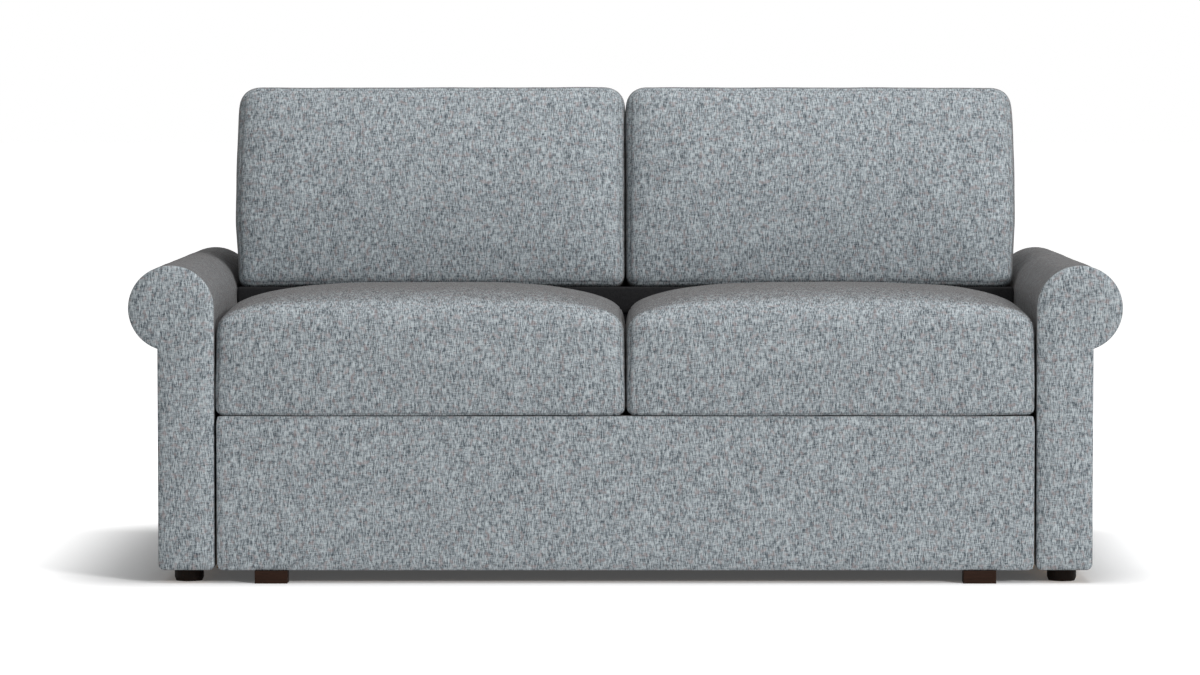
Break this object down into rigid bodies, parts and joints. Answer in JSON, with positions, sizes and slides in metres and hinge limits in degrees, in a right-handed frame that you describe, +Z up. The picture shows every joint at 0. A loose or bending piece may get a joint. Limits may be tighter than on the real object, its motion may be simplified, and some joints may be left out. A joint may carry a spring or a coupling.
{
  "type": "sleeper sofa",
  "caption": "Rolled-arm sofa with loose seat and back cushions and a front panel that pulls out as a folding double bed.",
  "frame": {"origin": "on the floor, under the middle of the sofa's bounding box", "axes": "+X to the right as seen from the front, +Y to the back, +Z up"},
  "size_m": [1.88, 1.016, 0.9379],
  "materials": {
    "upholstery": "heathered blue-grey linen-look weave, dark and pale slubs, soft sheen",
    "mattress_ticking": "off-white mattress cover",
    "turned_foot": "near-black brown stain, satin",
    "block_foot": "dark reddish brown stain, satin",
    "dust_cloth": "thin black non-woven cloth",
    "webbing": "elastic upholstery webbing",
    "slat_wood": "clear birch plywood",
    "frame_wood": "bare pine and plywood",
    "cap_plastic": "moulded black plastic",
    "zinc_steel": "zinc-plated steel",
    "bed_steel": "satin charcoal powder coat"
  },
  "bodies": {
    "sofa_frame": {"arm_cover_left": "upholstery", "arm_cover_right": "upholstery", "arm_formers_left": "frame_wood", "arm_formers_right": "frame_wood", "arm_rails_left": "frame_wood", "arm_rails_right": "frame_wood", "back_cover": "upholstery", "back_formers": "frame_wood", "back_rails": "frame_wood", "back_shelf": "frame_wood", "back_webbing": "webbing", "bun_foot_front_left": "turned_foot", "bun_foot_front_right": "turned_foot", "bun_foot_rear_left": "turned_foot", "bun_foot_rear_right": "turned_foot", "crank_pivot_pins": "zinc_steel", "cross_rails": "frame_wood", "dust_cover": "dust_cloth", "foot_bolts": "zinc_steel", "main_pivot_pins": "zinc_steel", "plate_bolts": "zinc_steel", "shelf_pad": "upholstery", "side_plate_left": "bed_steel", "side_plate_right": "bed_steel", "side_rail_left": "frame_wood", "side_rail_right": "frame_wood"},
    "head_section": {"head_brackets": "bed_steel", "head_frame": "bed_steel", "head_mattress": "mattress_ticking", "head_slats": "slat_wood"},
    "middle_section": {"fold_pins": "zinc_steel", "leg_pins": "zinc_steel", "middle_bracket_left": "bed_steel", "middle_bracket_right": "bed_steel", "middle_frame": "bed_steel", "middle_mattress": "mattress_ticking", "middle_slats": "slat_wood"},
    "foot_section": {"foot_frame": "bed_steel", "foot_slats": "slat_wood", "foot_mattress": "mattress_ticking", "foot_hinge_ears": "bed_steel", "hinge_pins": "zinc_steel", "block_foot_left": "block_foot", "block_foot_right": "block_foot", "front_panel_board": "frame_wood", "front_panel_cover": "upholstery", "panel_bolts": "zinc_steel", "panel_brackets": "bed_steel", "panel_cleat": "frame_wood"},
    "legs": {"leg_left": "bed_steel", "leg_right": "bed_steel", "leg_cap_left": "cap_plastic", "leg_cap_right": "cap_plastic"},
    "rear_cranks": {"rear_crank_left": "bed_steel", "rear_crank_right": "bed_steel"},
    "seat_cushion_left": {"seat_cushion_left": "upholstery"},
    "seat_cushion_right": {"seat_cushion_right": "upholstery"},
    "back_cushion_left": {"back_cushion_left": "upholstery"},
    "back_cushion_right": {"back_cushion_right": "upholstery"}
  },
  "joints": [
    {"name": "bed_unfold", "type": "hinge", "parent": "sofa_frame", "child": "middle_section", "pos_m": [0, -0.462, 0.225], "axis": [1, 0, 0], "range_deg": [0, 180]},
    {"name": "head_lift", "type": "hinge", "parent": "middle_section", "child": "head_section", "pos_m": [0, -0.462, 0.1325], "axis": [1, 0, 0], "range_deg": [-180, 0]},
    {"name": "foot_fold", "type": "hinge", "parent": "middle_section", "child": "foot_section", "pos_m": [0, 0.052, 0.225], "axis": [1, 0, 0], "range_deg": [-180, 0]},
    {"name": "leg_fold", "type": "hinge", "parent": "middle_section", "child": "legs", "pos_m": [0, 0.007, 0.225], "axis": [1, 0, 0], "range_deg": [-90, 0]},
    {"name": "crank_swing", "type": "hinge", "parent": "sofa_frame", "child": "rear_cranks", "pos_m": [0, 0.3, 0.1415], "axis": [1, 0, 0], "range_deg": [0, 180]},
    {"name": "seat_cushion_left_lift", "type": "slide", "parent": "foot_section", "child": "seat_cushion_left", "axis": [0, 0, 1], "range_m": [0, 0.3]},
    {"name": "back_cushion_left_lift", "type": "slide", "parent": "sofa_frame", "child": "back_cushion_left", "axis": [0, 0.2079, 0.9781], "range_m": [0, 0.35]},
    {"name": "seat_cushion_right_lift", "type": "slide", "parent": "foot_section", "child": "seat_cushion_right", "axis": [0, 0, 1], "range_m": [0, 0.3]},
    {"name": "back_cushion_right_lift", "type": "slide", "parent": "sofa_frame", "child": "back_cushion_right", "axis": [0, 0.2079, 0.9781], "range_m": [0, 0.35]}
  ],
  "couplings": [
    {"joint": "head_lift", "follows": "bed_unfold", "ratio": -1},
    {"joint": "foot_fold", "follows": "bed_unfold", "ratio": -1},
    {"joint": "leg_fold", "follows": "bed_unfold", "ratio": -0.5},
    {"joint": "crank_swing", "follows": "bed_unfold", "ratio": 1}
  ]
}
